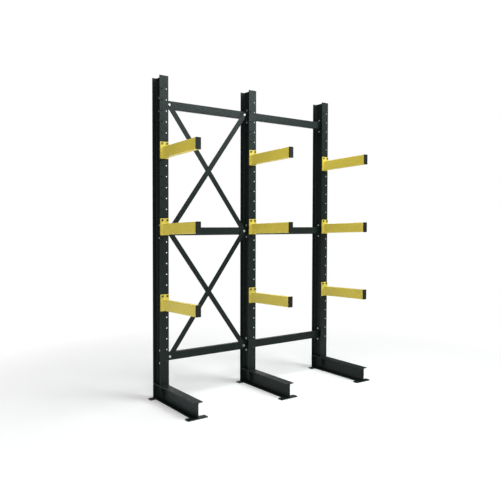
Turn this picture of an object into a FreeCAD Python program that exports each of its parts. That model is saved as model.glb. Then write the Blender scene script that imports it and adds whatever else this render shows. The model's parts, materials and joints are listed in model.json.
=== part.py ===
import FreeCAD, Part
import os
import Sketcher

# Single-sided cantilever rack: three punched I-section uprights on I-section bases, nine bolted
# box-section arms, and a rear frame of channel rails with crossed flat braces in the left bay.
# Row frame: +X along the rack, the arms point to -Y, +Z up, origin on the floor under the middle
# of the whole rack. All sizes are millimetres.

DIMENSIONS = {
    # overall
    "rack_height": 3000,
    "upright_spacing": 1000,
    "base_reach": 610,
    # rolled I-section of the uprights, and the shallower one of the bases
    "section_depth": 152.4,
    "section_width": 88.7,
    "web_thickness": 4.5,
    "flange_thickness": 7.7,
    "root_radius": 7.6,
    "base_depth": 146,
    "cut_margin": 1,
    # holes punched in the front flange
    "hole_top": 120,
    "hole_pitch": 100,
    "hole_gauge": 50,
    "hole_lowest": 200,
    # welded pieces of the base
    "rear_plate_thickness": 8,
    "stiffener_thickness": 6,
    "stiffener_toe": 8,
    "lug_width": 54,
    "lug_length": 60,
    "lug_thickness": 8,
    "lug_corner": 8,
    "anchor_diameter": 16,
    # arms: rectangular tube on a bolted plate, with a plastic cap
    "first_arm_row": 5,
    "arm_row_step": 7,
    "arm_length": 600,
    "arm_rise": 18,
    "arm_depth": 100,
    "arm_width": 50,
    "arm_wall": 4,
    "arm_corner": 6,
    "arm_seat": 6,
    "plate_width": 85,
    "plate_head": 48,
    "plate_thickness": 10,
    "plate_edge": 16,
    "plate_corner": 4,
    "cap_thickness": 4,
    "cap_overhang": 1.5,
    "cap_round": 2.5,
    "plug_length": 18,
    "plug_wall": 3,
    "plug_gap": 0.3,
    # rear frame: channel rails with end plates, and flat braces
    "rail_drop": 250,
    "rail_lowest": 400,
    "rail_height": 76,
    "rail_width": 38,
    "rail_wall": 4,
    "rail_bend": 6,
    "rail_setback": 50,
    "end_plate_thickness": 6,
    "end_plate_width": 72,
    "end_plate_height": 160,
    "end_plate_corner": 8,
    "rail_bolt_spacing": 120,
    "brace_offset": 75,
    "brace_width": 50,
    "brace_thickness": 5,
    "brace_end": 25,
    "brace_corner": 8,
    # M12 fasteners of the arms and of the rear frame
    "hole_clearance": 1,
    "bolt_diameter": 12,
    "bolt_flats": 18,
    "bolt_head": 7.5,
    "bolt_end": 5,
    "nut_height": 10.8,
    "washer_diameter": 24,
    "washer_thickness": 2.5,
}

doc = FreeCAD.newDocument("CantileverRack")
sheet = doc.addObject("Spreadsheet::Sheet", "Size")
for row, (alias, number) in enumerate(DIMENSIONS.items(), start=1):
    sheet.set(f"A{row}", alias)
    sheet.set(f"B{row}", str(number))
    sheet.setAlias(f"B{row}", alias)
doc.recompute()


def value(expression):
    """Number that an expression over the sheet has now."""
    return float(sheet.evalExpression(expression))


# ---------------------------------------------------------------------------------------------
# Places that several pieces share, as expressions over the sheet
# ---------------------------------------------------------------------------------------------
ARM_REACH = "(Size.plate_thickness + Size.arm_length + Size.cap_thickness)"
FRONT = f"(({ARM_REACH} - Size.section_depth) / 2)"
BACK = f"({FRONT} + Size.section_depth)"
HALF_WIDTH = "(Size.section_width / 2)"
HALF_WEB = "(Size.web_thickness / 2)"
FIRST_HOLE = "(Size.rack_height - Size.hole_top)"
PLATE_HEIGHT = "(Size.arm_seat + Size.arm_depth + Size.plate_head)"
PLATE_BELOW_BOLT = f"({PLATE_HEIGHT} - Size.plate_edge)"
RAIL_FACE = f"({FRONT} + Size.rail_setback)"
RAIL_BOLT_Y = f"({RAIL_FACE} + Size.end_plate_width / 2)"
BOLT_HOLE = "(Size.bolt_diameter + 2 * Size.hole_clearance)"
UPPER_RAIL = "(Size.rack_height - Size.rail_drop)"
BRACE_RUN = "(Size.upright_spacing - 2 * Size.brace_offset)"
BRACE_RISE = f"(({UPPER_RAIL} - Size.rail_lowest) / 2)"
BRACE_SPAN = f"sqrt({BRACE_RUN} ^ 2 + {BRACE_RISE} ^ 2)"

FRAMES = {"left": -1, "middle": 0, "right": 1}
BAYS = {"left_bay": -1, "right_bay": 0}
ARM_ROWS = {"upper": 0, "middle": 1, "lower": 2}
RAIL_LEVELS = {
    "lower": "Size.rail_lowest",
    "middle": f"(Size.rail_lowest + {BRACE_RISE})",
    "upper": UPPER_RAIL,
}
SIDES = (-1, 1)


def column(number):
    """X of an upright's web, counted from the middle one."""
    return f"({number} * Size.upright_spacing)"


def arm_bolt_height(level):
    """Z of the two bolts of an arm; level 0 is the highest arm."""
    return f"({FIRST_HOLE} - (Size.first_arm_row + {level} * Size.arm_row_step) * Size.hole_pitch)"


# ---------------------------------------------------------------------------------------------
# Modelling helpers
# ---------------------------------------------------------------------------------------------
def new_body(label):
    body = doc.addObject("PartDesign::Body", label)
    body.Label = label
    return body


def origin_feature(body, role):
    """One of a body's own origin planes or axes."""
    return [item for item in body.Origin.OriginFeatures if item.Role == role][0]


def new_sketch(body, plane):
    sketch = body.newObject("Sketcher::SketchObject", "Sketch")
    sketch.AttachmentSupport = (origin_feature(body, plane), [""])
    sketch.MapMode = "FlatFace"
    return sketch


def pin_point(sketch, edge, end, across, up):
    """Bind one point of a sketch to two expressions measured from the sketch's origin."""
    for kind, expression in (("DistanceX", across), ("DistanceY", up)):
        rule = Sketcher.Constraint(kind, -1, 1, edge, end, value(expression))
        number = sketch.addConstraint(rule)
        sketch.setExpression(f"Constraints[{number}]", expression)


def outline(sketch, corners):
    """Closed straight-sided outline through corners given as pairs of expressions."""
    points = [FreeCAD.Vector(value(across), value(up), 0) for across, up in corners]
    count = len(points)
    for number in range(count):
        line = Part.LineSegment(points[number], points[(number + 1) % count])
        sketch.addGeometry(line, False)
    for number in range(count):
        joint = Sketcher.Constraint("Coincident", number, 2, (number + 1) % count, 1)
        sketch.addConstraint(joint)
    for number, (across, up) in enumerate(corners):
        pin_point(sketch, number, 1, across, up)


def rectangle(sketch, left, right, bottom, top):
    outline(sketch, [(left, bottom), (right, bottom), (right, top), (left, top)])


def circle(sketch, across, up, diameter):
    """Round hole outline with its centre and diameter bound to expressions."""
    centre = FreeCAD.Vector(value(across), value(up), 0)
    ring = Part.Circle(centre, FreeCAD.Vector(0, 0, 1), value(diameter) / 2)
    edge = sketch.addGeometry(ring, False)
    pin_point(sketch, edge, 3, across, up)
    rule = Sketcher.Constraint("Diameter", edge, value(diameter))
    number = sketch.addConstraint(rule)
    sketch.setExpression(f"Constraints[{number}]", diameter)


def pad(body, sketch, length, symmetric=False):
    feature = body.newObject("PartDesign::Pad", "Pad")
    feature.Profile = sketch
    feature.setExpression("Length", length)
    if symmetric:
        feature.SideType = "Symmetric"
    doc.recompute()
    return feature


def pocket(body, sketch, length, symmetric=False):
    """Cut against the sketch plane's normal, or to both sides of it; it must remove material."""
    before = body.Shape.Volume
    feature = body.newObject("PartDesign::Pocket", "Pocket")
    feature.Profile = sketch
    feature.setExpression("Length", length)
    if symmetric:
        feature.SideType = "Symmetric"
    doc.recompute()
    if body.Shape.Volume >= before:
        raise RuntimeError(f"a pocket in {body.Label} cuts nothing")
    return feature


def round_edges(body, lines, radius):
    """Fillet the straight edges that lie on the given lines, each a direction and a point."""
    base = body.Tip
    names = []
    for number, edge in enumerate(base.Shape.Edges, start=1):
        start = edge.Vertexes[0].Point
        chord = edge.Vertexes[-1].Point - start
        if chord.Length < 0.999 * edge.Length:
            continue
        along = chord.normalize()
        for direction, point in lines:
            gap = point - start
            gap = gap - along * gap.dot(along)
            if abs(along.dot(direction)) > 0.999 and gap.Length < 0.01:
                names.append(f"Edge{number}")
    if len(names) != len(lines):
        raise RuntimeError(f"{body.Label} has {len(names)} edges to round, not {len(lines)}")
    fillet = body.newObject("PartDesign::Fillet", "Fillet")
    fillet.Base = (base, names)
    fillet.setExpression("Radius", radius)
    doc.recompute()
    return fillet


def place(piece, x, y, z):
    """Bind a piece's position to expressions."""
    for axis, expression in (("x", x), ("y", y), ("z", z)):
        piece.setExpression(f".Placement.Base.{axis}", expression)


def group(label, pieces):
    """One node that holds equal pieces as separate solids."""
    compound = doc.addObject("Part::Compound", label)
    compound.Label = label
    compound.Links = pieces
    return compound


X_AXIS = FreeCAD.Vector(1, 0, 0)
Y_AXIS = FreeCAD.Vector(0, 1, 0)
Z_AXIS = FreeCAD.Vector(0, 0, 1)


# ---------------------------------------------------------------------------------------------
# Uprights: I-section with two columns of holes in the front flange
# ---------------------------------------------------------------------------------------------
def i_section(sketch, depth):
    """I outline, centred across, standing from 0 to depth."""
    half = HALF_WIDTH
    web = HALF_WEB
    low = "Size.flange_thickness"
    high = f"({depth} - Size.flange_thickness)"
    right = [("0", half), (low, half), (low, web), (high, web), (high, half), (depth, half)]
    corners = [(across, up) for up, across in right]
    corners += [(f"-{across}", up) for up, across in reversed(right)]
    outline(sketch, corners)


def round_roots(body, depth, direction, up_axis):
    """Root radii in the four inner corners of an I-section that stands along up_axis."""
    lines = []
    for side in SIDES:
        for up in ("Size.flange_thickness", f"({depth} - Size.flange_thickness)"):
            lines.append((direction, X_AXIS * side * value(HALF_WEB) + up_axis * value(up)))
    round_edges(body, lines, "Size.root_radius")


def make_upright(name, number):
    body = new_body(f"upright_{name}")
    profile = new_sketch(body, "XY_Plane")
    i_section(profile, "Size.section_depth")
    pad(body, profile, "Size.rack_height - Size.base_depth")
    round_roots(body, "Size.section_depth", Z_AXIS, Y_AXIS)

    bolt_rows = new_sketch(body, "YZ_Plane")
    rail_bolt = "(Size.rail_setback + Size.end_plate_width / 2)"
    for level in RAIL_LEVELS.values():
        for side in SIDES:
            height = f"({level} - Size.base_depth + {side} * Size.rail_bolt_spacing / 2)"
            circle(bolt_rows, rail_bolt, height, BOLT_HOLE)
    pocket(body, bolt_rows, "Size.web_thickness + 2 * Size.cut_margin", symmetric=True)

    arm_row = new_sketch(body, "XZ_Plane")
    for side in SIDES:
        across = f"({side} * Size.hole_gauge / 2)"
        circle(arm_row, across, f"({FIRST_HOLE} - Size.base_depth)", BOLT_HOLE)
    row_cut = pocket(body, arm_row, "Size.flange_thickness + Size.cut_margin")
    rows = body.newObject("PartDesign::LinearPattern", "HoleRows")
    rows.Originals = [row_cut]
    rows.Direction = (origin_feature(body, "Z_Axis"), [""])
    rows.Reversed = True
    rows.Mode = "Spacing"
    rows.setExpression("Offset", "Size.hole_pitch")
    punched = f"floor(({FIRST_HOLE} - Size.base_depth - Size.hole_lowest) / Size.hole_pitch) + 1"
    rows.setExpression("Occurrences", punched)
    body.Tip = rows
    place(body, column(number), FRONT, "Size.base_depth")
    return body


# ---------------------------------------------------------------------------------------------
# Bases: I-section beam, plate across its rear end, stiffeners and floor lugs
# ---------------------------------------------------------------------------------------------
def make_base_beam(name, number):
    body = new_body(f"base_beam_{name}")
    profile = new_sketch(body, "XZ_Plane")
    i_section(profile, "Size.base_depth")
    pad(body, profile, "Size.base_reach + Size.section_depth - Size.rear_plate_thickness")
    round_roots(body, "Size.base_depth", Y_AXIS, Z_AXIS)
    place(body, column(number), f"{BACK} - Size.rear_plate_thickness", "0")
    return body


def make_rear_plate(name, number):
    body = new_body(f"rear_plate_{name}")
    profile = new_sketch(body, "XZ_Plane")
    rectangle(profile, f"-{HALF_WIDTH}", HALF_WIDTH, "0", "Size.base_depth")
    pad(body, profile, "Size.rear_plate_thickness")
    place(body, column(number), BACK, "0")
    return body


def make_stiffener(name, number, side):
    """Tapered rib under the upright's front flange, wide at the top and narrow at the foot."""
    body = new_body(f"stiffener_{name}_{'left' if side < 0 else 'right'}")
    inner = f"({side} * {HALF_WEB})"
    clear = f"({side} * ({HALF_WEB} + Size.root_radius))"
    outer = f"({side} * {HALF_WIDTH})"
    toe = f"({side} * ({HALF_WEB} + Size.stiffener_toe))"
    top = "(Size.base_depth - Size.flange_thickness)"
    foot = "(Size.flange_thickness + Size.root_radius)"
    corners = [(clear, top), (outer, top), (outer, f"({top} - Size.stiffener_toe)")]
    corners += [(toe, foot), (inner, foot), (inner, f"({top} - Size.root_radius)")]
    profile = new_sketch(body, "XZ_Plane")
    outline(profile, corners)
    pad(body, profile, "Size.stiffener_thickness")
    place(body, column(number), f"{FRONT} + Size.stiffener_thickness", "0")
    return body


def make_lug(name, number, side, end, y):
    """Flat lug beside the bottom flange, with one hole for a floor anchor."""
    body = new_body(f"lug_{name}_{end}_{'left' if side < 0 else 'right'}")
    profile = new_sketch(body, "XY_Plane")
    inner = f"({side} * {HALF_WIDTH})"
    outer = f"({side} * ({HALF_WIDTH} + Size.lug_width))"
    rectangle(profile, inner, outer, "0", "Size.lug_length")
    circle(profile, f"(({inner} + {outer}) / 2)", "(Size.lug_length / 2)", "Size.anchor_diameter")
    pad(body, profile, "Size.lug_thickness")
    tip = X_AXIS * value(outer)
    corners = [(Z_AXIS, tip), (Z_AXIS, tip + Y_AXIS * value("Size.lug_length"))]
    round_edges(body, corners, "Size.lug_corner")
    place(body, column(number), y, "0")
    return body


# ---------------------------------------------------------------------------------------------
# Arms: tube, bolted plate and end cap
# ---------------------------------------------------------------------------------------------
def arm_outline(sketch, inset):
    """Side view of the rising tube, or of its bore when inset is the wall."""
    low = inset
    high = f"(Size.arm_depth - {inset})"
    rise = "Size.arm_rise"
    tip = "(-Size.arm_length)"
    outline(sketch, [("0", low), ("0", high), (tip, f"({high} + {rise})"), (tip, f"({low} + {rise})")])


def make_arm(label, number, level):
    body = new_body(label)
    profile = new_sketch(body, "YZ_Plane")
    arm_outline(profile, "0")
    pad(body, profile, "Size.arm_width", symmetric=True)
    slope = FreeCAD.Vector(0, -value("Size.arm_length"), value("Size.arm_rise")).normalize()
    half = value("Size.arm_width") / 2
    corners = []
    for side in SIDES:
        for height in (0, value("Size.arm_depth")):
            corners.append((slope, FreeCAD.Vector(side * half, 0, height)))
    round_edges(body, corners, "Size.arm_corner")
    bore = new_sketch(body, "YZ_Plane")
    arm_outline(bore, "Size.arm_wall")
    pocket(body, bore, "Size.arm_width - 2 * Size.arm_wall", symmetric=True)
    foot = f"{arm_bolt_height(level)} - {PLATE_BELOW_BOLT} + Size.arm_seat"
    place(body, column(number), f"{FRONT} - Size.plate_thickness", foot)
    return body


def make_arm_plate(label, number, level):
    body = new_body(label)
    profile = new_sketch(body, "XZ_Plane")
    rectangle(profile, "(-Size.plate_width / 2)", "(Size.plate_width / 2)", "0", PLATE_HEIGHT)
    for side in SIDES:
        circle(profile, f"({side} * Size.hole_gauge / 2)", PLATE_BELOW_BOLT, BOLT_HOLE)
    pad(body, profile, "Size.plate_thickness")
    half = value("Size.plate_width") / 2
    corners = []
    for side in SIDES:
        for height in (0, value(PLATE_HEIGHT)):
            corners.append((Y_AXIS, FreeCAD.Vector(side * half, 0, height)))
    round_edges(body, corners, "Size.plate_corner")
    place(body, column(number), FRONT, f"{arm_bolt_height(level)} - {PLATE_BELOW_BOLT}")
    return body


def plug_outline(sketch, inset):
    """Side view of the cap's plug, which slopes as the tube does, from the tube's tip inwards."""
    length = "Size.plug_length"
    top = f"(Size.arm_depth - {inset})"
    drop = "(Size.plug_length * Size.arm_rise / Size.arm_length)"
    inner = [(length, f"({top} - {drop})"), (length, f"({inset} - {drop})")]
    outline(sketch, [("0", inset), ("0", top)] + inner)


def make_arm_cap(label, number, level):
    """Plastic cap: a face plate over the tube's end and a plug that follows the tube's slope."""
    body = new_body(label)
    face = new_sketch(body, "XZ_Plane")
    half = "(Size.arm_width / 2 + Size.cap_overhang)"
    rectangle(face, f"-{half}", half, "-Size.cap_overhang", "(Size.arm_depth + Size.cap_overhang)")
    pad(body, face, "Size.cap_thickness")
    front = -value("Size.cap_thickness")
    rims = [(Z_AXIS, FreeCAD.Vector(side * value(half), front, 0)) for side in SIDES]
    for height in ("-Size.cap_overhang", "Size.arm_depth + Size.cap_overhang"):
        rims.append((X_AXIS, FreeCAD.Vector(0, front, value(height))))
    round_edges(body, rims, "Size.cap_round")

    fit = "(Size.arm_wall + Size.plug_gap)"
    plug = new_sketch(body, "YZ_Plane")
    plug_outline(plug, fit)
    pad(body, plug, f"Size.arm_width - 2 * {fit}", symmetric=True)
    hollow = f"({fit} + Size.plug_wall)"
    bore = new_sketch(body, "YZ_Plane")
    plug_outline(bore, hollow)
    pocket(body, bore, f"Size.arm_width - 2 * {hollow}", symmetric=True)
    foot = f"{arm_bolt_height(level)} - {PLATE_BELOW_BOLT} + Size.arm_seat + Size.arm_rise"
    place(body, column(number), f"{FRONT} - Size.plate_thickness - Size.arm_length", foot)
    return body


# ---------------------------------------------------------------------------------------------
# Rear frame: channel rails between the uprights, their end plates, and crossed flat braces
# ---------------------------------------------------------------------------------------------
def make_rail(bay, number, level, height):
    body = new_body(f"rail_{bay}_{level}")
    profile = new_sketch(body, "YZ_Plane")
    half = "(Size.rail_height / 2)"
    inner = "(Size.rail_height / 2 - Size.rail_wall)"
    wall = "Size.rail_wall"
    width = "Size.rail_width"
    corners = [("0", f"-{half}"), ("0", half), (width, half), (width, inner)]
    corners += [(wall, inner), (wall, f"-{inner}"), (width, f"-{inner}"), (width, f"-{half}")]
    outline(profile, corners)
    pad(body, profile, "Size.upright_spacing - Size.web_thickness - 2 * Size.end_plate_thickness")
    bends = [(X_AXIS, FreeCAD.Vector(0, 0, side * value(half))) for side in SIDES]
    round_edges(body, bends, "Size.rail_bend")
    folds = [(X_AXIS, FreeCAD.Vector(0, value(wall), side * value(inner))) for side in SIDES]
    round_edges(body, folds, "Size.rail_bend - Size.rail_wall")
    rail_start = f"({HALF_WEB} + Size.end_plate_thickness)"
    if bay == "left_bay":
        holes = new_sketch(body, "XZ_Plane")
        near = f"(Size.brace_offset - {rail_start})"
        for across in (near, f"({near} + {BRACE_RUN})"):
            circle(holes, across, "0", BOLT_HOLE)
        pocket(body, holes, "Size.rail_wall + Size.cut_margin")
    place(body, f"{column(number)} + {rail_start}", RAIL_FACE, height)
    return body


def make_end_plate(bay, level, height, side, x):
    body = new_body(f"end_plate_{bay}_{level}_{side}")
    profile = new_sketch(body, "YZ_Plane")
    half = "(Size.end_plate_height / 2)"
    rectangle(profile, "0", "Size.end_plate_width", f"-{half}", half)
    for sign in SIDES:
        bolt = f"({sign} * Size.rail_bolt_spacing / 2)"
        circle(profile, "(Size.end_plate_width / 2)", bolt, BOLT_HOLE)
    pad(body, profile, "Size.end_plate_thickness")
    corners = []
    for across in (0, value("Size.end_plate_width")):
        for sign in SIDES:
            corners.append((X_AXIS, FreeCAD.Vector(0, across, sign * value(half))))
    round_edges(body, corners, "Size.end_plate_corner")
    place(body, x, RAIL_FACE, height)
    return body


def make_brace(panel, height, direction, turn, layer):
    """Flat bar across one panel; layer 0 lies on the rails, layer 1 in front of layer 0."""
    body = new_body(f"brace_{panel}_{direction}")
    profile = new_sketch(body, "XZ_Plane")
    reach = f"({BRACE_SPAN} / 2 + Size.brace_end)"
    half = "(Size.brace_width / 2)"
    rectangle(profile, f"-{reach}", reach, f"-{half}", half)
    for side in SIDES:
        circle(profile, f"({side} * {BRACE_SPAN} / 2)", "0", BOLT_HOLE)
    pad(body, profile, "Size.brace_thickness")
    corners = []
    for side in SIDES:
        for sign in SIDES:
            corner = FreeCAD.Vector(side * value(reach), 0, sign * value(half))
            corners.append((Y_AXIS, corner))
    round_edges(body, corners, "Size.brace_corner")
    angle = f"atan({BRACE_RISE} / {BRACE_RUN})"
    body.Placement = FreeCAD.Placement(FreeCAD.Vector(), FreeCAD.Rotation(Y_AXIS * turn, value(angle)))
    body.setExpression(".Placement.Rotation.Angle", angle)
    middle = f"{column(-1)} + Size.upright_spacing / 2"
    place(body, middle, f"{RAIL_FACE} - {layer} * Size.brace_thickness", height)
    return body


# ---------------------------------------------------------------------------------------------
# Fasteners, each built along +Z from the face that it clamps and then turned
# ---------------------------------------------------------------------------------------------
ALONG_Y = FreeCAD.Rotation(X_AXIS, -90)
ALONG_X = FreeCAD.Rotation(Y_AXIS, 90)


def turned(piece, rotation, x, y, z):
    piece.Placement = FreeCAD.Placement(FreeCAD.Vector(), rotation)
    place(piece, x, y, z)
    return piece


def cylinder(radius, height):
    rod = doc.addObject("Part::Cylinder", "Rod")
    rod.setExpression("Radius", radius)
    rod.setExpression("Height", height)
    return rod


def hexagon(flats, height):
    block = doc.addObject("Part::Prism", "Hexagon")
    block.Polygon = 6
    block.setExpression("Circumradius", f"{flats} / sqrt(3)")
    block.setExpression("Height", height)
    return block


def make_bolt(length, rotation, x, y, z):
    head = hexagon("Size.bolt_flats", "Size.bolt_head")
    head.setExpression(".Placement.Base.z", "-Size.bolt_head")
    bolt = doc.addObject("Part::Fuse", "Bolt")
    bolt.Base = head
    bolt.Tool = cylinder("Size.bolt_diameter / 2", length)
    return turned(bolt, rotation, x, y, z)


def make_nut(rotation, x, y, z):
    nut = doc.addObject("Part::Cut", "Nut")
    nut.Base = hexagon("Size.bolt_flats", "Size.nut_height")
    nut.Tool = cylinder("Size.bolt_diameter / 2", "Size.nut_height")
    return turned(nut, rotation, x, y, z)


def make_ring(thickness, rotation, x, y, z):
    """Washer or spacer that clears its bolt."""
    ring = doc.addObject("Part::Cut", "Ring")
    ring.Base = cylinder("Size.washer_diameter / 2", thickness)
    ring.Tool = cylinder("(Size.bolt_diameter + Size.hole_clearance) / 2", thickness)
    return turned(ring, rotation, x, y, z)


def make_arm_fasteners():
    """Two bolts through each arm plate and the flange, with a nut behind the flange."""
    bolts = []
    nuts = []
    face = f"{FRONT} - Size.plate_thickness"
    grip = "Size.plate_thickness + Size.flange_thickness"
    length = f"{grip} + Size.nut_height + Size.bolt_end"
    for number in FRAMES.values():
        for level in ARM_ROWS.values():
            for side in SIDES:
                x = f"{column(number)} + {side} * Size.hole_gauge / 2"
                z = arm_bolt_height(level)
                bolts.append(make_bolt(length, ALONG_Y, x, face, z))
                nuts.append(make_nut(ALONG_Y, x, f"{FRONT} + Size.flange_thickness", z))
    return [group("arm_bolts", bolts), group("arm_nuts", nuts)]


def make_rail_fasteners():
    """Bolts through each upright's web and the end plates on one or both sides of it."""
    bolts = []
    nuts = []
    plate = "Size.end_plate_thickness"
    length = f"Size.web_thickness + 2 * {plate} + Size.nut_height + Size.bolt_end"
    for number in FRAMES.values():
        plates_left = 0 if number == -1 else 1
        plates_right = 0 if number == 1 else 1
        head_x = f"{column(number)} - {HALF_WEB} - {plates_left} * {plate}"
        nut_x = f"{column(number)} + {HALF_WEB} + {plates_right} * {plate}"
        for height in RAIL_LEVELS.values():
            for side in SIDES:
                z = f"{height} + {side} * Size.rail_bolt_spacing / 2"
                bolts.append(make_bolt(length, ALONG_X, head_x, RAIL_BOLT_Y, z))
                nuts.append(make_nut(ALONG_X, nut_x, RAIL_BOLT_Y, z))
    return [group("rail_bolts", bolts), group("rail_nuts", nuts)]


def make_brace_fasteners():
    """One bolt at each end of each rail of the left bay. A rising brace that is alone there
    stands off the rail by a spacer as thick as the brace layer that is missing."""
    bolts = []
    rings = []
    nuts = []
    bar = "Size.brace_thickness"
    washer = "Size.washer_thickness"
    length = f"{washer} + 2 * {bar} + Size.rail_wall + Size.nut_height + Size.bolt_end"
    layers = {("lower", -1): "rising", ("lower", 1): "falling"}
    layers.update({("upper", -1): "falling", ("upper", 1): "rising"})
    for level, height in RAIL_LEVELS.items():
        for side in SIDES:
            x = f"{column(-1)} + (Size.upright_spacing + {side} * {BRACE_RUN}) / 2"
            here = layers.get((level, side), "both")
            depth = 1 if here == "falling" else 2
            face = f"{RAIL_FACE} - {depth} * {bar} - {washer}"
            bolts.append(make_bolt(length, ALONG_Y, x, face, height))
            rings.append(make_ring(washer, ALONG_Y, x, face, height))
            if here == "rising":
                rings.append(make_ring(bar, ALONG_Y, x, f"{RAIL_FACE} - {bar}", height))
            nuts.append(make_nut(ALONG_Y, x, f"{RAIL_FACE} + Size.rail_wall", height))
    return [group("brace_bolts", bolts), group("brace_washers", rings), group("brace_nuts", nuts)]


# ---------------------------------------------------------------------------------------------
# The whole rack
# ---------------------------------------------------------------------------------------------
def make_frames():
    nodes = []
    rear_plates = []
    stiffeners = []
    lug_ends = {"front": f"{FRONT} - Size.base_reach", "rear": f"{BACK} - Size.lug_length"}
    for name, number in FRAMES.items():
        nodes.append(make_upright(name, number))
        nodes.append(make_base_beam(name, number))
        rear_plates.append(make_rear_plate(name, number))
        lugs = []
        for side in SIDES:
            stiffeners.append(make_stiffener(name, number, side))
            for end, y in lug_ends.items():
                lugs.append(make_lug(name, number, side, end, y))
        nodes.append(group(f"floor_lugs_{name}", lugs))
    nodes.append(group("base_rear_plates", rear_plates))
    nodes.append(group("base_stiffeners", stiffeners))
    return nodes


def make_arms():
    nodes = []
    for name, number in FRAMES.items():
        for row_name, level in ARM_ROWS.items():
            nodes.append(make_arm(f"arm_{name}_{row_name}", number, level))
            nodes.append(make_arm_plate(f"arm_plate_{name}_{row_name}", number, level))
            nodes.append(make_arm_cap(f"arm_cap_{name}_{row_name}", number, level))
    return nodes


def make_rear_frame():
    nodes = []
    for bay, number in BAYS.items():
        plates = []
        left = f"{column(number)} + {HALF_WEB}"
        right = f"{column(number + 1)} - {HALF_WEB} - Size.end_plate_thickness"
        for level, height in RAIL_LEVELS.items():
            nodes.append(make_rail(bay, number, level, height))
            plates.append(make_end_plate(bay, level, height, "left", left))
            plates.append(make_end_plate(bay, level, height, "right", right))
        nodes.append(group(f"rail_end_plates_{bay}", plates))
    for panel, step in (("lower", 0.5), ("upper", 1.5)):
        height = f"Size.rail_lowest + {step} * {BRACE_RISE}"
        nodes.append(make_brace(panel, height, "falling", 1, 0))
        nodes.append(make_brace(panel, height, "rising", -1, 1))
    return nodes


parts = make_frames() + make_arms() + make_rear_frame()
parts += make_arm_fasteners() + make_rail_fasteners() + make_brace_fasteners()
doc.recompute()

for item in doc.Objects:
    if "Invalid" in item.State or "Error" in item.State:
        raise RuntimeError(f"{item.Label} failed: {item.State}")
for part in parts:
    if part.Shape.isNull() or not part.Shape.isValid():
        raise RuntimeError(f"{part.Label} has no valid shape")

os.makedirs("parts", exist_ok=True)
for part in parts:
    part.Shape.exportStep(f"parts/{part.Label}.step")
    solids = len(part.Shape.Solids)
    print(f"{part.Label}: {solids} solid(s), {part.Shape.Volume / 1000:.1f} cm3")
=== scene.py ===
import json
import math

import bmesh
import bpy
from mathutils import Matrix, Vector


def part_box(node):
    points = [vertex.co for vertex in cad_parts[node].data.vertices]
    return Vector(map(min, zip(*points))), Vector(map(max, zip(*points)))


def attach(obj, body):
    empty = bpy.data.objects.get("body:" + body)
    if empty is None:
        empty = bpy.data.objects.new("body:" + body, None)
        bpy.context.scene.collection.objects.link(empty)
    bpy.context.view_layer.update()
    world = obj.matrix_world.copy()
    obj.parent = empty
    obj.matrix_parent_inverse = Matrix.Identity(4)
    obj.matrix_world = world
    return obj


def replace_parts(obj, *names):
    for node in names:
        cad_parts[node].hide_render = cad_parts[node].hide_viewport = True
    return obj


# Looks of the cantilever rack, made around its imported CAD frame. Everything is in metres: the
# rack stands along X, its arms point to -Y, and the floor is at Z = 0.

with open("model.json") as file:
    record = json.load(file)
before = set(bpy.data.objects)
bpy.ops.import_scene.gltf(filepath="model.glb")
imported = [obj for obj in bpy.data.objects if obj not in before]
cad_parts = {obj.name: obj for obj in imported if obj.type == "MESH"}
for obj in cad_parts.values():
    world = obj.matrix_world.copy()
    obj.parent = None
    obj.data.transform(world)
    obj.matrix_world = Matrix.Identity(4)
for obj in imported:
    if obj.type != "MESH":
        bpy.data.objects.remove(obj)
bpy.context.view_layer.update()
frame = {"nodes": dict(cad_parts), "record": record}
MM = 0.001
X_AXIS = Vector((1, 0, 0))
Y_AXIS = Vector((0, 1, 0))
Z_AXIS = Vector((0, 0, 1))
FRAMES = ("left", "middle", "right")
ROWS = ("upper", "middle", "lower")
BAYS = ("left_bay", "right_bay")
LEVELS = ("lower", "middle", "upper")
SIDES = (-1, 1)

# sizes of the steelwork that no node's box gives
ARM_RISE = 18 * MM
ARM_LENGTH = 600 * MM
ARM_SLOPE = ARM_RISE / ARM_LENGTH
ARM_CORNER = 6 * MM
WEB = 4.5 * MM
FLANGE = 7.7 * MM
ROOT = 7.6 * MM
RAIL_WALL = 4 * MM
RAIL_BEND = 6 * MM
RIBS_PER_BASE = 2


# ---------------------------------------------------------------------------------------------
# Materials
# ---------------------------------------------------------------------------------------------
# spans of a noise that its patches spread out: most of it for soft patches, its middle for firm
SOFT = (0.3, 0.7)
FIRM = (0.35, 0.65)
# dot product of the rounded and the flat normal from which a spot isn't on an edge
FLAT_FACE = 0.985
EDGE_SAMPLES = 6
HANDLED_PLASTIC = (0.060, 0.062, 0.060)
BARE_STEEL = (0.75, 0.75, 0.74)


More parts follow.
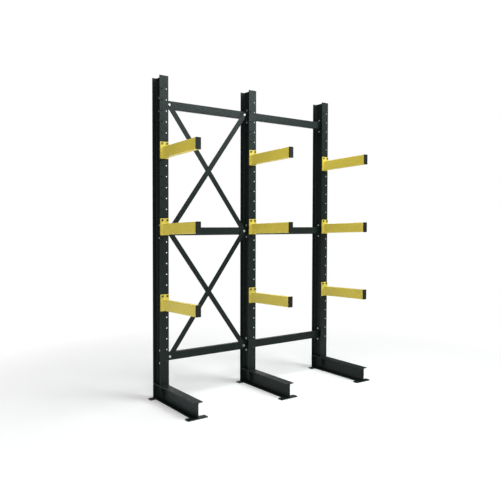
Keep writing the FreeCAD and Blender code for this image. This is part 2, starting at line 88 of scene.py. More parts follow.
class Shader:
    """A node material under construction: a Principled shader and the nodes that feed it."""

    def __init__(self, name, colour, roughness, metallic=0.0, specular=0.5):
        self.material = bpy.data.materials.new(name)
        self.material.use_nodes = True
        self.material.diffuse_color = (*colour, 1)
        self.tree = self.material.node_tree
        self.surface = self.tree.nodes["Principled BSDF"]
        self.surface.inputs["Base Color"].default_value = (*colour, 1)
        self.surface.inputs["Roughness"].default_value = roughness
        self.surface.inputs["Metallic"].default_value = metallic
        self.surface.inputs["Specular IOR Level"].default_value = specular
        self.coordinates = self.node("ShaderNodeTexCoord").outputs["Object"]
        self.geometry = self.node("ShaderNodeNewGeometry")

    def node(self, kind, **settings):
        """New node of a kind, with its settings."""
        made = self.tree.nodes.new(kind)
        for name, setting in settings.items():
            setattr(made, name, setting)
        return made

    def feed(self, socket, source):
        """Link a source socket, or set a plain number or colour."""
        if isinstance(source, bpy.types.NodeSocket):
            self.tree.links.new(source, socket)
        else:
            socket.default_value = source

    def noise(self, scale, detail, roughness=0.5, stretch=None):
        """Noise over the rack's own coordinates, with about scale lumps to the metre."""
        made = self.node("ShaderNodeTexNoise")
        vector = self.coordinates
        if stretch:
            mapping = self.node("ShaderNodeMapping")
            self.feed(mapping.inputs["Vector"], vector)
            mapping.inputs["Scale"].default_value = stretch
            vector = mapping.outputs["Vector"]
        self.feed(made.inputs["Vector"], vector)
        made.inputs["Scale"].default_value = scale
        made.inputs["Detail"].default_value = detail
        made.inputs["Roughness"].default_value = roughness
        return made.outputs["Fac"]

    def remap(self, source, span, reach=(0.0, 1.0)):
        """Source moved from a span of numbers to another one, and held at both its ends."""
        made = self.node("ShaderNodeMapRange")
        for socket, number in zip(made.inputs, (source, *span, *reach)):
            self.feed(socket, number)
        return made.outputs["Result"]

    def patches(self, scale, detail, span, reach=(0.0, 1.0), roughness=0.5):
        """Noise whose span is spread over the whole reach."""
        return self.remap(self.noise(scale, detail, roughness), span, reach)

    def math(self, operation, first, second):
        """Sum or product of two sockets or numbers."""
        made = self.node("ShaderNodeMath", operation=operation)
        self.feed(made.inputs[0], first)
        self.feed(made.inputs[1], second)
        return made.outputs["Value"]

    def blend(self, share, first, second):
        """Colour that goes from first to second as share goes from 0 to 1."""
        made = self.node("ShaderNodeMix", data_type="RGBA")
        self.feed(made.inputs["Factor"], share)
        self.feed(made.inputs[6], first)
        self.feed(made.inputs[7], second)
        return made.outputs[2]

    def edges(self, radius, full):
        """Mask of the edges and corners, and the normal that rounds them off.

        The mask goes from 0 where the normals agree by FLAT_FACE to 1 where they do by full.
        """
        bevel = self.node("ShaderNodeBevel", samples=EDGE_SAMPLES)
        bevel.inputs["Radius"].default_value = radius
        dot = self.node("ShaderNodeVectorMath", operation="DOT_PRODUCT")
        self.feed(dot.inputs[0], bevel.outputs["Normal"])
        self.feed(dot.inputs[1], self.geometry.outputs["Normal"])
        return self.remap(dot.outputs["Value"], (FLAT_FACE, full)), bevel.outputs["Normal"]

    def facing_up(self, low):
        """Mask that goes from 0 where the normal's rise is low to 1 on a level top."""
        split = self.node("ShaderNodeSeparateXYZ")
        self.feed(split.inputs[0], self.geometry.outputs["Normal"])
        return self.remap(split.outputs["Z"], (low, 1.0))

    def bump(self, height, strength, distance, normal=None):
        """Normal bent by a height, whose whole range is the distance in metres."""
        made = self.node("ShaderNodeBump")
        made.inputs["Strength"].default_value = strength
        made.inputs["Distance"].default_value = distance
        self.feed(made.inputs["Height"], height)
        if normal is not None:
            self.feed(made.inputs["Normal"], normal)
        return made.outputs["Normal"]

    def finish(self, colour, roughness, normal):
        """The material, with its colour, roughness and normal plugged in."""
        self.feed(self.surface.inputs["Base Color"], colour)
        self.feed(self.surface.inputs["Roughness"], roughness)
        self.feed(self.surface.inputs["Normal"], normal)
        return self.material


def rgba(colour, share=1.0):
    """Colour with its channels scaled by a share, and its alpha."""
    return tuple(channel * share for channel in colour) + (1.0,)


def powder_coat(name, colour, chip, dust, roughness, specular, dust_share):
    """Sprayed and baked paint: orange peel, uneven gloss, dust on top and lightly worn edges."""
    paint = Shader(name, colour, roughness, specular=specular)
    # tone that drifts along the members, and the fine grain of the powder
    tone = paint.patches(2.2, 4.0, SOFT)
    body = paint.blend(tone, rgba(colour, 0.9), rgba(colour, 1.1))
    grain = paint.patches(1400.0, 2.0, FIRM)
    body = paint.blend(grain, body, paint.blend(0.16, body, rgba(chip)))

    # thin scuffs along X, in some places only
    scuffs = paint.noise(1.0, 3.0, 0.6, stretch=(7.0, 160.0, 160.0))
    scuffs = paint.remap(scuffs, (0.68, 0.75), (0.0, 0.45))
    places = paint.patches(5.0, 2.0, (0.5, 0.62))
    scuffs = paint.math("MULTIPLY", scuffs, places)
    body = paint.blend(scuffs, body, rgba(chip))

    # dust on level faces
    drift = paint.patches(14.0, 5.0, (0.4, 0.75), (0.25, 1.0), roughness=0.65)
    film = paint.math("MULTIPLY", paint.facing_up(0.75), drift)
    body = paint.blend(paint.math("MULTIPLY", film, dust_share), body, rgba(dust))

    # edges rubbed here and there
    rim, rounded = paint.edges(1.1 * MM, 0.72)
    rubbed = paint.patches(48.0, 4.0, (0.50, 0.66), (0.0, 0.65), roughness=0.7)
    body = paint.blend(paint.math("MULTIPLY", rim, rubbed), body, rgba(chip))

    # uneven gloss, duller under dust, and orange peel
    gloss = paint.patches(36.0, 4.0, SOFT, (roughness - 0.06, roughness + 0.06))
    gloss = paint.math("ADD", gloss, paint.math("MULTIPLY", film, 0.16))
    peel = paint.math("ADD", paint.noise(340.0, 2.0, 0.4), paint.math("MULTIPLY", grain, 0.18))
    return paint.finish(body, gloss, paint.bump(peel, 0.30, 0.6 * MM, rounded))


def moulded_plastic(name, colour):
    """Black moulded cap: fine spark texture, greyer where handling has polished it."""
    plastic = Shader(name, colour, 0.5, specular=0.22)
    tone = plastic.patches(26.0, 4.0, (0.35, 0.7))
    body = plastic.blend(tone, rgba(colour, 0.8), rgba(colour, 1.35))
    rim, rounded = plastic.edges(0.9 * MM, 0.75)
    body = plastic.blend(plastic.math("MULTIPLY", rim, 0.5), body, rgba(HANDLED_PLASTIC))
    gloss = plastic.patches(90.0, 3.0, SOFT, (0.42, 0.58))
    spark = plastic.noise(1700.0, 3.0, 0.6)
    return plastic.finish(body, gloss, plastic.bump(spark, 0.3, 0.25 * MM, rounded))


def plated_steel(name, colour, tint, stain, roughness):
    """Plated or blackened steel: cloudy tint, stains, bright worn edges, fine turning marks."""
    steel = Shader(name, colour, roughness, metallic=1.0)
    cloud = steel.patches(120.0, 4.0, FIRM, roughness=0.6)
    body = steel.blend(cloud, rgba(colour), rgba(tint))
    spots = steel.patches(420.0, 2.0, (0.62, 0.72), (0.0, 0.5))
    body = steel.blend(spots, body, rgba(stain))
    rim, rounded = steel.edges(0.5 * MM, 0.75)
    body = steel.blend(steel.math("MULTIPLY", rim, 0.4), body, rgba(BARE_STEEL))
    gloss = steel.patches(260.0, 3.0, SOFT, (roughness - 0.1, roughness + 0.1))
    marks = steel.noise(2200.0, 2.0)
    return steel.finish(body, gloss, steel.bump(marks, 0.25, 0.1 * MM, rounded))


MATERIALS = {
    "dark_paint": powder_coat(
        "anthracite_powder_coat",
        colour=(0.0024, 0.0068, 0.0060), chip=(0.046, 0.062, 0.057), dust=(0.030, 0.042, 0.038),
        roughness=0.46, specular=0.20, dust_share=0.26),
    "yellow_paint": powder_coat(
        "yellow_powder_coat",
        colour=(0.600, 0.478, 0.044), chip=(0.800, 0.740, 0.360), dust=(0.720, 0.670, 0.380),
        roughness=0.42, specular=0.42, dust_share=0.22),
    "cap_plastic": moulded_plastic("black_moulded_plastic", (0.0075, 0.0085, 0.0075)),
    "dark_steel": plated_steel(
        "blackened_steel",
        colour=(0.075, 0.070, 0.055), tint=(0.140, 0.125, 0.085), stain=(0.030, 0.026, 0.020),
        roughness=0.42),
    "zinc_steel": plated_steel(
        "zinc_plated_steel",
        colour=(0.640, 0.665, 0.690), tint=(0.700, 0.680, 0.620), stain=(0.360, 0.360, 0.340),
        roughness=0.48),
}
for part in frame["record"]["subparts"]:
    node = frame["nodes"][part["node"]]
    if not node.material_slots:
        node.data.materials.append(None)
    for slot in node.material_slots:
        slot.material = MATERIALS[part["material_slot"]]


# ---------------------------------------------------------------------------------------------
# Mesh helpers
# ---------------------------------------------------------------------------------------------
# angles, in degrees, from which an edge is shaded sharp
STEEL_CREASE = 32.0
CAP_CREASE = 40.0
BEAD_CREASE = 60.0
# vertices that are one on a grid this fine belong to the same solid
CELLS_PER_METRE = 1e5


def make_piece(name, mesh_data, slot, crease=STEEL_CREASE):
    """Turn a bmesh into a finished piece that rides on the rack."""
    bmesh.ops.recalc_face_normals(mesh_data, faces=mesh_data.faces)
    mesh = bpy.data.meshes.new(name)
    mesh_data.to_mesh(mesh)
    mesh_data.free()
    mesh.shade_smooth()
    mesh.set_sharp_from_angle(angle=math.radians(crease))
    mesh.materials.append(MATERIALS[slot])
    piece = bpy.data.objects.new(name, mesh)
    bpy.context.scene.collection.objects.link(piece)
    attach(piece, "root")
    return piece


def solids(node):
    """Lowest and highest corner of each separate solid of a CAD node, in a fixed order."""
    mesh = frame["nodes"][node].data
    keys = []
    for vertex in mesh.vertices:
        keys.append(tuple(round(number * CELLS_PER_METRE) for number in vertex.co))
    parent = {key: key for key in keys}

    def root(key):
        while parent[key] != key:
            parent[key] = parent[parent[key]]
            key = parent[key]
        return key

    for edge in mesh.edges:
        first = root(keys[edge.vertices[0]])
        second = root(keys[edge.vertices[1]])
        parent[max(first, second)] = min(first, second)
    members = {}
    for key, vertex in zip(keys, mesh.vertices):
        members.setdefault(root(key), []).append(vertex.co)
    boxes = []
    for points in members.values():
        low = Vector([min(point[axis] for point in points) for axis in range(3)])
        high = Vector([max(point[axis] for point in points) for axis in range(3)])
        boxes.append((low, high))
    return sorted(boxes, key=lambda box: tuple(round(number, 4) for number in box[0]))


def skin(mesh_data, rings, closed=False):
    """Quads between rings of equal counts, which join up or else end in a flat face each."""
    made = [[mesh_data.verts.new(point) for point in ring] for ring in rings]
    count = len(made[0])
    spans = len(made) if closed else len(made) - 1
    for index in range(spans):
        low = made[index]
        high = made[(index + 1) % len(made)]
        for step in range(count):
            following = (step + 1) % count
            mesh_data.faces.new((low[step], low[following], high[following], high[step]))
    if not closed:
        mesh_data.faces.new(made[0])
        mesh_data.faces.new(made[-1])


def ring_points(place, radius, height, count):
    """Ring about local +Z; radius and height may depend on the angle."""
    points = []
    for step in range(count):
        angle = 2 * math.pi * step / count
        reach = radius(angle) if callable(radius) else radius
        level = height(angle) if callable(height) else height
        points.append(place @ Vector((reach * math.cos(angle), reach * math.sin(angle), level)))
    return points


# ---------------------------------------------------------------------------------------------
# Fasteners
# ---------------------------------------------------------------------------------------------
HEX_POINTS = 72
ROUND_POINTS = 40
# M12 hexagon
FLATS = 18 * MM
HEAD = 7.5 * MM
APOTHEM = FLATS / 2
FACE_RADIUS = APOTHEM * 0.95
CHAMFER_SLOPE = math.tan(math.radians(30))
COLLAR_RADIUS = FLATS * 0.46
COLLAR_HEIGHT = 0.6 * MM
DISH_MOUTH = FLATS * 0.33
DISH_FLOOR = FLATS * 0.29
DISH_MIDDLE = FLATS * 0.12
DISH_DEPTH = 0.25 * MM
# M12 shank and thread
SHANK = 12 * MM
SHANK_ROOT = SHANK * 0.4
SHANK_SUNK = 0.2 * MM
PITCH = 1.75 * MM
THREAD_LENGTH = 7 * MM
THREAD_DEPTH = 0.61 * PITCH
THREAD_STEPS = 8
TIP_LENGTH = 1.4 * MM
TIP_SLOPE = 0.75
# nuts and washers
COUNTERSINK = 0.7 * MM
BORE_ROOM = 0.05 * MM
NUT_TURN = 3
WASHER = 24 * MM
WASHER_ROOM = 0.5 * MM


def turn_of(number):
    """Steady but uneven angle at which a fastener was tightened."""
    return math.radians((number * 47 + 13 * (number % 5)) % 60)


def along(axis, centre, number=0):
    """Local +Z turned to the given row axis, at centre, spun by the fastener's own angle."""
    turn = Z_AXIS.rotation_difference(axis).to_matrix().to_4x4()
    return Matrix.Translation(centre) @ turn @ Matrix.Rotation(turn_of(number), 4, "Z")


def hexagon_rings(place, low, high, inner, cut_high):
    """Hexagon whose corners are cut back by a cone at its low end, and at its high end if asked."""
    def reach(angle):
        return APOTHEM / math.cos((angle % (math.pi / 3)) - math.pi / 6)

    def drop(angle):
        return (reach(angle) - FACE_RADIUS) * CHAMFER_SLOPE

    levels = [
        (inner, low), (FACE_RADIUS, low), (reach, lambda angle: low + drop(angle)),
    ]
    if cut_high:
        levels += [(reach, lambda angle: high - drop(angle)), (FACE_RADIUS, high), (inner, high)]
    else:
        levels.append((reach, high))
    return [ring_points(place, radius, level, HEX_POINTS) for radius, level in levels]


def add_head(mesh_data, place):
    """Bolt head below local zero, with a washer face against the work and a shallow dish on top."""
    dish = [
        ring_points(place, DISH_MIDDLE, -HEAD + DISH_DEPTH, HEX_POINTS),
        ring_points(place, DISH_FLOOR, -HEAD + DISH_DEPTH, HEX_POINTS),
    ]
    hexagon = hexagon_rings(place, -HEAD, -COLLAR_HEIGHT, DISH_MOUTH, cut_high=False)
    collar = [
        ring_points(place, COLLAR_RADIUS, -COLLAR_HEIGHT, HEX_POINTS),
        ring_points(place, COLLAR_RADIUS, 0.0, HEX_POINTS),
        ring_points(place, SHANK_ROOT, 0.0, HEX_POINTS),
    ]
    skin(mesh_data, dish + hexagon + collar)


def add_shank(mesh_data, place, length):
    """Plain shank that ends in a real helical thread with a chamfered tip."""
    radius = SHANK / 2
    start = length - THREAD_LENGTH
    rings = [ring_points(place, radius, -SHANK_SUNK, ROUND_POINTS)]
    steps = math.ceil(THREAD_LENGTH / (PITCH / THREAD_STEPS))
    for step in range(steps + 1):
        level = start + THREAD_LENGTH * step / steps
        fade = min(1.0, (level - start) / PITCH)
        cone = max(0.0, level - (length - TIP_LENGTH)) * TIP_SLOPE

        def reach(angle, level=level, fade=fade, cone=cone):
            wave = (level / PITCH - angle / (2 * math.pi)) % 1.0
            cut = fade * THREAD_DEPTH * (1 - abs(2 * wave - 1))
            return min(radius - cut, radius - cone)

        rings.append(ring_points(place, reach, level, ROUND_POINTS))
    skin(mesh_data, rings)


def add_nut(mesh_data, place, height):
    """Nut from local zero up, with both ends chamfered and a countersunk bore."""
    bore = SHANK / 2
    hexagon = hexagon_rings(place, 0.0, height, bore + COUNTERSINK, cut_high=True)
    sink = [
        ring_points(place, bore + BORE_ROOM, height - COUNTERSINK, HEX_POINTS),
        ring_points(place, bore + BORE_ROOM, COUNTERSINK, HEX_POINTS),
    ]
    skin(mesh_data, hexagon + sink, closed=True)


def add_washer(mesh_data, place, outer, inner, thickness):
    """Stamped ring with a rolled upper edge and a sharper lower one."""
    roll = min(0.7 * MM, thickness * 0.3)
    profile = [
        (inner, roll), (inner, thickness - roll * 0.5), (inner + roll * 0.5, thickness),
        (outer - roll * 0.4, thickness), (outer, thickness - roll * 0.4), (outer, roll),
        (outer - roll * 0.3, roll * 0.3), (outer - roll, 0.0), (inner + roll, 0.0),
        (inner + roll * 0.3, roll * 0.3),
    ]
    rings = [ring_points(place, radius, level, ROUND_POINTS) for radius, level in profile]
    skin(mesh_data, rings, closed=True)


def make_bolts(name, node, axis, slot):
    """Detailed bolts in place of the plain ones of a CAD node. Their heads are at the low end."""
    mesh_data = bmesh.new()
    line = axis.to_tuple().index(1.0)
    for number, (low, high) in enumerate(solids(node)):
        centre = (low + high) / 2
        centre[line] = low[line] + HEAD
        place = along(axis, centre, number)
        add_head(mesh_data, place)
        add_shank(mesh_data, place, high[line] - centre[line])
    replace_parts(make_piece(name, mesh_data, slot), node)


def make_nuts(name, node, axis, slot):
    """Chamfered nuts in place of the plain ones of a CAD node, each turned unlike its bolt."""
    mesh_data = bmesh.new()
    line = axis.to_tuple().index(1.0)
    for number, (low, high) in enumerate(solids(node)):
        centre = (low + high) / 2
        centre[line] = low[line]
        add_nut(mesh_data, along(axis, centre, number + NUT_TURN), high[line] - low[line])
    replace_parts(make_piece(name, mesh_data, slot), node)


def make_washers(name, node, axis, slot):
    """Stamped washers in place of a CAD node's rings, their rolled edges at the low end."""
    mesh_data = bmesh.new()
    line = axis.to_tuple().index(1.0)
    inner = SHANK / 2 + WASHER_ROOM
    for low, high in solids(node):
        centre = (low + high) / 2
        centre[line] = high[line]
        add_washer(mesh_data, along(-axis, centre), WASHER / 2, inner, high[line] - low[line])
    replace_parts(make_piece(name, mesh_data, slot), node)


make_bolts("arm_bolt_set", "arm_bolts", Y_AXIS, "dark_steel")
make_nuts("arm_nut_set", "arm_nuts", Y_AXIS, "dark_steel")
make_bolts("rail_bolt_set", "rail_bolts", X_AXIS, "zinc_steel")
make_nuts("rail_nut_set", "rail_nuts", X_AXIS, "zinc_steel")
make_bolts("brace_bolt_set", "brace_bolts", Y_AXIS, "zinc_steel")
make_nuts("brace_nut_set", "brace_nuts", Y_AXIS, "zinc_steel")
make_washers("brace_washer_set", "brace_washers", Y_AXIS, "zinc_steel")


# ---------------------------------------------------------------------------------------------
# Arm caps
# ---------------------------------------------------------------------------------------------
ARC_STEPS = 6
SIDE_STEPS = 6


def rounded_rectangle(half_across, half_up, radius):
    """Anticlockwise outline about the origin, with the same number of points at every size."""
    points = []
    corners = ((1, 1, 0), (-1, 1, 90), (-1, -1, 180), (1, -1, 270))
    for index, (side, up, start) in enumerate(corners):
        centre = Vector((side * (half_across - radius), up * (half_up - radius)))
        for step in range(ARC_STEPS + 1):
            angle = math.radians(start + 90 * step / ARC_STEPS)
            points.append(centre + radius * Vector((math.cos(angle), math.sin(angle))))
        following = corners[(index + 1) % 4]
        reach = Vector((following[0] * (half_across - radius), following[1] * (half_up - radius)))
        angle = math.radians(start + 90)
        target = reach + radius * Vector((math.cos(angle), math.sin(angle)))
        last = points[-1]
        for step in range(1, SIDE_STEPS):
            points.append(last.lerp(target, step / SIDE_STEPS))
    return points


CAP_THICKNESS = 4 * MM
CAP_CORNER = 6.5 * MM
PLUG_CORNER = 0.8 * MM
# from the plug's inner end to the middle of the face: how far in from the cap's outline, and
# how far into the tube from its end, in millimetres
CAP_PROFILE = (
    (7.2, 17.5), (7.0, 18.0), (5.8, 18.0), (5.8, 0.1), (0.4, 0.05), (0.0, -0.4), (0.0, -2.0),
    (0.15, -2.7), (0.6, -3.3), (1.3, -3.75), (2.3, -4.0), (4.2, -4.0), (4.9, -3.8),
    (5.4, -3.35), (6.2, -3.2), (12.0, -3.1), (18.0, -3.25), (22.0, -3.35),
)
# the moulding gate's mark: radius, and height above the face, in millimetres
GATE_LEVEL = 3.3 * MM
GATE_POINTS = 32
GATE_PROFILE = ((4.2, -0.3), (4.2, 0.10), (3.9, 0.28), (3.2, 0.30), (2.7, 0.05), (0.4, 0.0))


def make_cap(name, node):
    """Moulded cap: rolled outer edge, raised rim, dished face and the gate mark in its middle."""
    low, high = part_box(node)
    centre = (low + high) / 2
    half_across = (high.x - low.x) / 2
    half_up = (high.z - low.z) / 2
    back = low.y + CAP_THICKNESS
    rings = []
    for inset, depth in CAP_PROFILE:
        inset = inset * MM
        depth = depth * MM
        corner = max(PLUG_CORNER, CAP_CORNER - inset)
        level = centre.z - max(0.0, depth) * ARM_SLOPE
        ring = []
        for point in rounded_rectangle(half_across - inset, half_up - inset, corner):
            ring.append(Vector((centre.x + point.x, back + depth, level + point.y)))
        rings.append(ring)
    mesh_data = bmesh.new()
    skin(mesh_data, rings)
    gate = along(-Y_AXIS, Vector((centre.x, back - GATE_LEVEL, centre.z)))
    rings = []
    for radius, level in GATE_PROFILE:
        rings.append(ring_points(gate, radius * MM, level * MM, GATE_POINTS))
    skin(mesh_data, rings)
    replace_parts(make_piece(name, mesh_data, "cap_plastic", CAP_CREASE), node)


for frame_name in FRAMES:
    for row in ROWS:
        make_cap(f"end_cap_{frame_name}_{row}", f"arm_cap_{frame_name}_{row}")


# ---------------------------------------------------------------------------------------------
# Weld beads
# ---------------------------------------------------------------------------------------------
BEAD_POINTS = 8
RIPPLE = 3.2 * MM
SAMPLES_PER_RIPPLE = 4
# shares of the leg: a ripple's trough and how far its crest stands out of it, an open bead's
# end, and two uneven waves along the bead, each with its turns per millimetre in radians
TROUGH = 0.93
CREST = 0.10
BEAD_END = 0.35
SLOW_WAVE = (0.05, 0.31)
QUICK_WAVE = (0.03, 0.83)
# how far the sides of a ripple trail its middle, as a share of the ripple
RIPPLE_LAG = 0.55
BEND_STEPS = 6
# legs of the beads, and where they stop short of an edge
ARM_LEG = 4.5 * MM
FRAME_LEG = 5 * MM
SMALL_LEG = 3.2 * MM
EDGE_STOP = 3 * MM


def resample(points, closed, step):
    """Points at an even spacing along a path, and the length at each."""
    path = list(points) + ([points[0]] if closed else [])
    lengths = [0.0]
    for first, second in zip(path, path[1:]):
        lengths.append(lengths[-1] + (second - first).length)
    count = max(6, round(lengths[-1] / step))
    total = count if closed else count + 1
    made = []
    index = 0
    for number in range(total):
        at = lengths[-1] * number / count
        while index < len(path) - 2 and lengths[index + 1] < at:
            index += 1
        span = lengths[index + 1] - lengths[index]
        made.append((path[index].lerp(path[index + 1], (at - lengths[index]) / span), at))
    return made, lengths[-1]


def add_bead(mesh_data, points, normal, leg, outward, phase, closed=False):
    """Rippled fillet bead along a planar path; outward picks the side of the path it faces."""
    samples, total = resample(points, closed, RIPPLE / SAMPLES_PER_RIPPLE)
    count = len(samples)
    rings = []
    for index, (point, at) in enumerate(samples):
        before = samples[index - 1][0] if closed or index > 0 else point
        after = samples[(index + 1) % count][0] if closed or index < count - 1 else point
        tangent = (after - before).normalized()
        side = normal.cross(tangent) * outward
        taper = 1.0
        if not closed:
            taper = min(1.0, BEAD_END + min(at, total - at) / leg * (1 - BEAD_END))
        wander = 1.0
        for share, turns in (SLOW_WAVE, QUICK_WAVE):
            wander += share * math.sin(at / MM * turns + phase)
        ring = []
        for step in range(BEAD_POINTS):
            angle = 2 * math.pi * step / BEAD_POINTS + math.pi / BEAD_POINTS
            lag = RIPPLE_LAG * (math.cos(2 * (angle - math.pi / 4)) - 1) / 2
            crest = ((at / RIPPLE + lag + phase) % 1.0) ** 2
            reach = leg * taper * wander * (TROUGH + CREST * crest)
            ring.append(point + (normal * math.cos(angle) + side * math.sin(angle)) * reach)
        rings.append(ring)
    skin(mesh_data, rings, closed=closed)


def rounded_path(corners, radius):
    """Open path through corners in one plane, its inner corners rounded."""
    path = [corners[0]]
    for before, corner, after in zip(corners, corners[1:], corners[2:]):
        start = corner + (before - corner).normalized() * radius
        end = corner + (after - corner).normalized() * radius
        for step in range(BEND_STEPS + 1):
            share = step / BEND_STEPS
            path.append(start.lerp(corner, share).lerp(corner.lerp(end, share), share))
    path.append(corners[-1])
    return path


def make_arm_weld(name, arm):
    """One closed bead where the arm's tube meets its plate."""
    low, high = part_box(arm)
    half_up = (high.z - low.z - ARM_RISE) / 2
    centre = Vector(((low.x + high.x) / 2, high.y, low.z + half_up))
    outline = rounded_rectangle((high.x - low.x) / 2, half_up, ARM_CORNER)
    points = [centre + Vector((point.x, 0, point.y)) for point in outline]
    mesh_data = bmesh.new()
    add_bead(mesh_data, points, -Y_AXIS, ARM_LEG, outward=1, phase=centre.z, closed=True)
    make_piece(name, mesh_data, "yellow_paint", BEAD_CREASE)


def make_upright_weld(name, upright):
    """Beads round the foot: across the front, and round the inside of both channels."""
    low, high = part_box(upright)
    x = (low.x + high.x) / 2
    half = (high.x - low.x) / 2
    mesh_data = bmesh.new()
    front = [Vector((x + side * (half - EDGE_STOP), low.y, low.z)) for side in SIDES]
    add_bead(mesh_data, front, Z_AXIS, FRAME_LEG, outward=-1, phase=x)
    for side in SIDES:
        edge = x + side * (half - EDGE_STOP)
        web = x + side * WEB / 2
        corners = [
            Vector((edge, low.y + FLANGE, low.z)), Vector((web, low.y + FLANGE, low.z)),
            Vector((web, high.y - FLANGE, low.z)), Vector((edge, high.y - FLANGE, low.z)),
        ]
        path = rounded_path(corners, ROOT)
        add_bead(mesh_data, path, Z_AXIS, FRAME_LEG, outward=-side, phase=side)
    make_piece(name, mesh_data, "dark_paint", BEAD_CREASE)


def make_base_weld(name, frame_name, number):
    """Beads of the rear plate, the two stiffeners and the four floor lugs of one base."""
    low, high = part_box(f"base_beam_{frame_name}")
    x = (low.x + high.x) / 2
    half = (high.x - low.x) / 2
    top = high.z - FLANGE
    mesh_data = bmesh.new()
    for side in SIDES:
        edge = x + side * (half - EDGE_STOP)
        web = x + side * WEB / 2
        corners = [
            Vector((edge, high.y, FLANGE)), Vector((web, high.y, FLANGE)),
            Vector((web, high.y, top)), Vector((edge, high.y, top)),
        ]
        path = rounded_path(corners, ROOT)
        add_bead(mesh_data, path, -Y_AXIS, SMALL_LEG, outward=-side, phase=side)
    first_rib = number * RIBS_PER_BASE
    for rib_low, rib_high in solids("base_stiffeners")[first_rib:first_rib + RIBS_PER_BASE]:
        side = 1 if rib_low.x + rib_high.x > 2 * x else -1
        for y, normal in ((rib_low.y, -Y_AXIS), (rib_high.y, Y_AXIS)):
            web = x + side * WEB / 2
            corners = [
                Vector((x + side * (half - EDGE_STOP), y, top)),
                Vector((web + side * ROOT, y, top)),
                Vector((web, y, top - ROOT)),
                Vector((web, y, rib_low.z + EDGE_STOP)),
            ]
            turn = side if normal.y < 0 else -side
            add_bead(mesh_data, corners, normal, SMALL_LEG, outward=turn, phase=y)
    for lug_low, lug_high in solids(f"floor_lugs_{frame_name}"):
        side = 1 if lug_low.x + lug_high.x > 2 * x else -1
        seam = lug_low.x if side > 0 else lug_high.x
        sunk = lug_high.z - SMALL_LEG / 2
        ends = [Vector((seam, y, sunk)) for y in (lug_low.y + FRAME_LEG, lug_high.y - FRAME_LEG)]
        add_bead(mesh_data, ends, Z_AXIS, SMALL_LEG, outward=side, phase=seam + lug_low.y)
    make_piece(name, mesh_data, "dark_paint", BEAD_CREASE)


def make_rail_weld(name, rail):
    """Beads at both ends of a channel rail: over it, under it and down its inner face."""
    low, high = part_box(rail)
    mesh_data = bmesh.new()
    for x, normal in ((low.x, X_AXIS), (high.x, -X_AXIS)):
        turn = 1 if normal.x > 0 else -1
        for z, face in ((high.z, 1), (low.z, -1)):
            ends = [Vector((x, low.y + RAIL_BEND, z)), Vector((x, high.y - EDGE_STOP, z))]
            add_bead(mesh_data, ends, normal, SMALL_LEG, outward=turn * face, phase=z)
        inner = [Vector((x, low.y + RAIL_WALL, z)) for z in (low.z + RAIL_BEND, high.z - RAIL_BEND)]
        add_bead(mesh_data, inner, normal, SMALL_LEG, outward=turn, phase=x)
    make_piece(name, mesh_data, "dark_paint", BEAD_CREASE)


for number, frame_name in enumerate(FRAMES):
    make_upright_weld(f"upright_weld_{frame_name}", f"upright_{frame_name}")
    make_base_weld(f"base_weld_{frame_name}", frame_name, number)
    for row in ROWS:
        make_arm_weld(f"arm_weld_{frame_name}_{row}", f"arm_{frame_name}_{row}")
for bay in BAYS:
    for level in LEVELS:
        make_rail_weld(f"rail_weld_{bay}_{level}", f"rail_{bay}_{level}")


# ---------------------------------------------------------------------------------------------
# Studio: pale floor that fades into the surroundings, soft lights and the camera
# ---------------------------------------------------------------------------------------------
FLOOR_RADIUS = 14.0
FLOOR_POINTS = 96
FLOOR_LEVEL = -0.5 * MM
FLOOR_GLOW = 0.22
# distance from the middle at which the floor starts to fade into white, and where it has
FLOOR_CLEAR = 1.2
FLOOR_FADED = 3.6
WHITE = (1.0, 1.0, 1.0, 1.0)
SKY = (0.93, 0.96, 1.0, 1.0)
SKY_STRENGTH = 0.03


def make_floor():
    """Pale disc that fades into the white surroundings away from the rack."""
    mesh_data = bmesh.new()
    bmesh.ops.create_circle(
        mesh_data, cap_ends=True, segments=FLOOR_POINTS, radius=FLOOR_RADIUS)
    mesh = bpy.data.meshes.new("studio_floor")
    mesh_data.to_mesh(mesh)
    mesh_data.free()
    floor = bpy.data.objects.new("studio_floor", mesh)
    floor.location.z = FLOOR_LEVEL
    bpy.context.scene.collection.objects.link(floor)

    pale = Shader("pale_floor", (0.86, 0.86, 0.86), 0.7, specular=0.2)
    pale.surface.inputs["Emission Color"].default_value = WHITE
    pale.surface.inputs["Emission Strength"].default_value = FLOOR_GLOW
    tone = pale.patches(1.3, 3.0, SOFT)
    body = pale.blend(tone, (0.845, 0.845, 0.845, 1), (0.875, 0.875, 0.875, 1))
    gloss = pale.patches(9.0, 3.0, SOFT, (0.62, 0.78))
    normal = pale.bump(pale.noise(220.0, 2.0), 0.1, 0.5 * MM)
    material = pale.finish(body, gloss, normal)
    length = pale.node("ShaderNodeVectorMath", operation="LENGTH")
    pale.feed(length.inputs[0], pale.coordinates)
    faded = pale.remap(length.outputs["Value"], (FLOOR_CLEAR, FLOOR_FADED))
    glow = pale.node("ShaderNodeEmission")
    mixed = pale.node("ShaderNodeMixShader")
    pale.feed(mixed.inputs[0], faded)
    pale.feed(mixed.inputs[1], pale.surface.outputs[0])
    pale.feed(mixed.inputs[2], glow.outputs[0])
    pale.feed(pale.tree.nodes["Material Output"].inputs["Surface"], mixed.outputs[0])
    mesh.materials.append(material)


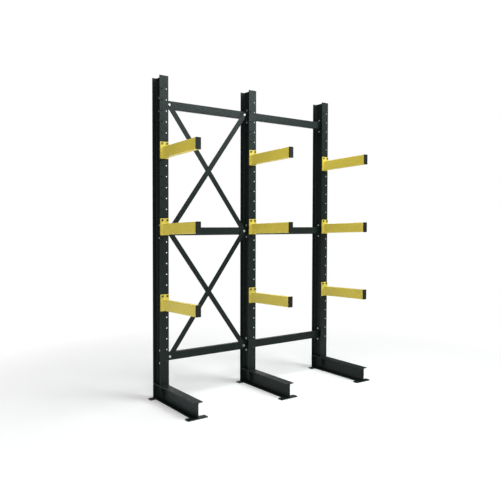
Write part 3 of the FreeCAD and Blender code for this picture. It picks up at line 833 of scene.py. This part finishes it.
def make_surroundings():
    """White to the eye, and a dim even light on the rack."""
    world = bpy.data.worlds.new("studio")
    world.use_nodes = True
    tree = world.node_tree
    tree.nodes.clear()
    path = tree.nodes.new("ShaderNodeLightPath")
    even = tree.nodes.new("ShaderNodeBackground")
    even.inputs["Color"].default_value = SKY
    even.inputs["Strength"].default_value = SKY_STRENGTH
    seen = tree.nodes.new("ShaderNodeBackground")
    seen.inputs["Color"].default_value = WHITE
    mixed = tree.nodes.new("ShaderNodeMixShader")
    output = tree.nodes.new("ShaderNodeOutputWorld")
    tree.links.new(path.outputs["Is Camera Ray"], mixed.inputs[0])
    tree.links.new(even.outputs[0], mixed.inputs[1])
    tree.links.new(seen.outputs[0], mixed.inputs[2])
    tree.links.new(mixed.outputs[0], output.inputs["Surface"])
    bpy.context.scene.world = world


# name, place, the point it is turned to, width and height in metres, watts, and colour
LIGHTS = (
    ("key", (2.1, -3.4, 4.4), (0.0, 0.2, 2.4), 2.4, 1.8, 165, (0.88, 1.0, 0.99)),
    ("top", (0.0, -1.2, 5.6), (0.0, 0.0, 0.0), 4.5, 3.0, 223, (1, 1, 1)),
    ("side", (-5.2, -0.9, 0.9), (0.0, -0.1, 1.0), 2.4, 1.8, 58, (1, 1, 1)),
    ("front", (-3.0, -6.4, 2.2), (0.0, 0.0, 1.5), 2.6, 2.2, 120, (1, 1, 1)),
    ("rear", (2.6, 4.6, 2.8), (0.0, 0.3, 1.4), 3.0, 2.4, 70, (1, 1, 1)),
)


def make_light(name, at, target, width, height, power, colour):
    """Soft rectangular lamp."""
    light = bpy.data.lights.new(name, "AREA")
    light.shape = "RECTANGLE"
    light.size = width
    light.size_y = height
    light.energy = power
    light.color = colour
    lamp = bpy.data.objects.new(name, light)
    lamp.location = at
    lamp.rotation_euler = (Vector(target) - Vector(at)).to_track_quat("-Z", "Y").to_euler()
    bpy.context.scene.collection.objects.link(lamp)


CAMERA_AT = Vector((-3.4288, -4.4944, 1.6495))
CAMERA_YAW = math.radians(35.733)
CAMERA_PITCH = math.radians(1.808)
CAMERA_ROLL = math.radians(0.141)
# lens and sensor in millimetres, and the shift as a share of the sensor
CAMERA_LENS = 41.13
CAMERA_SENSOR = 36
CAMERA_SHIFT = -0.0165


def make_camera():
    """Camera turned from +Y towards +X by the yaw, down by the pitch and then rolled."""
    forward = Vector((
        math.sin(CAMERA_YAW) * math.cos(CAMERA_PITCH),
        math.cos(CAMERA_YAW) * math.cos(CAMERA_PITCH),
        -math.sin(CAMERA_PITCH)))
    level = Vector((math.cos(CAMERA_YAW), -math.sin(CAMERA_YAW), 0))
    upward = level.cross(forward)
    right = level * math.cos(CAMERA_ROLL) + upward * math.sin(CAMERA_ROLL)
    up = upward * math.cos(CAMERA_ROLL) - level * math.sin(CAMERA_ROLL)
    lens = bpy.data.cameras.new("camera")
    lens.sensor_width = CAMERA_SENSOR
    lens.lens = CAMERA_LENS
    lens.shift_y = CAMERA_SHIFT
    camera = bpy.data.objects.new("camera", lens)
    turn = Matrix((right, up, -forward)).transposed().to_4x4()
    camera.matrix_world = Matrix.Translation(CAMERA_AT) @ turn
    bpy.context.scene.collection.objects.link(camera)
    bpy.context.scene.camera = camera


make_floor()
make_surroundings()
for settings in LIGHTS:
    make_light(*settings)
make_camera()
bpy.context.scene.view_settings.view_transform = "Standard"
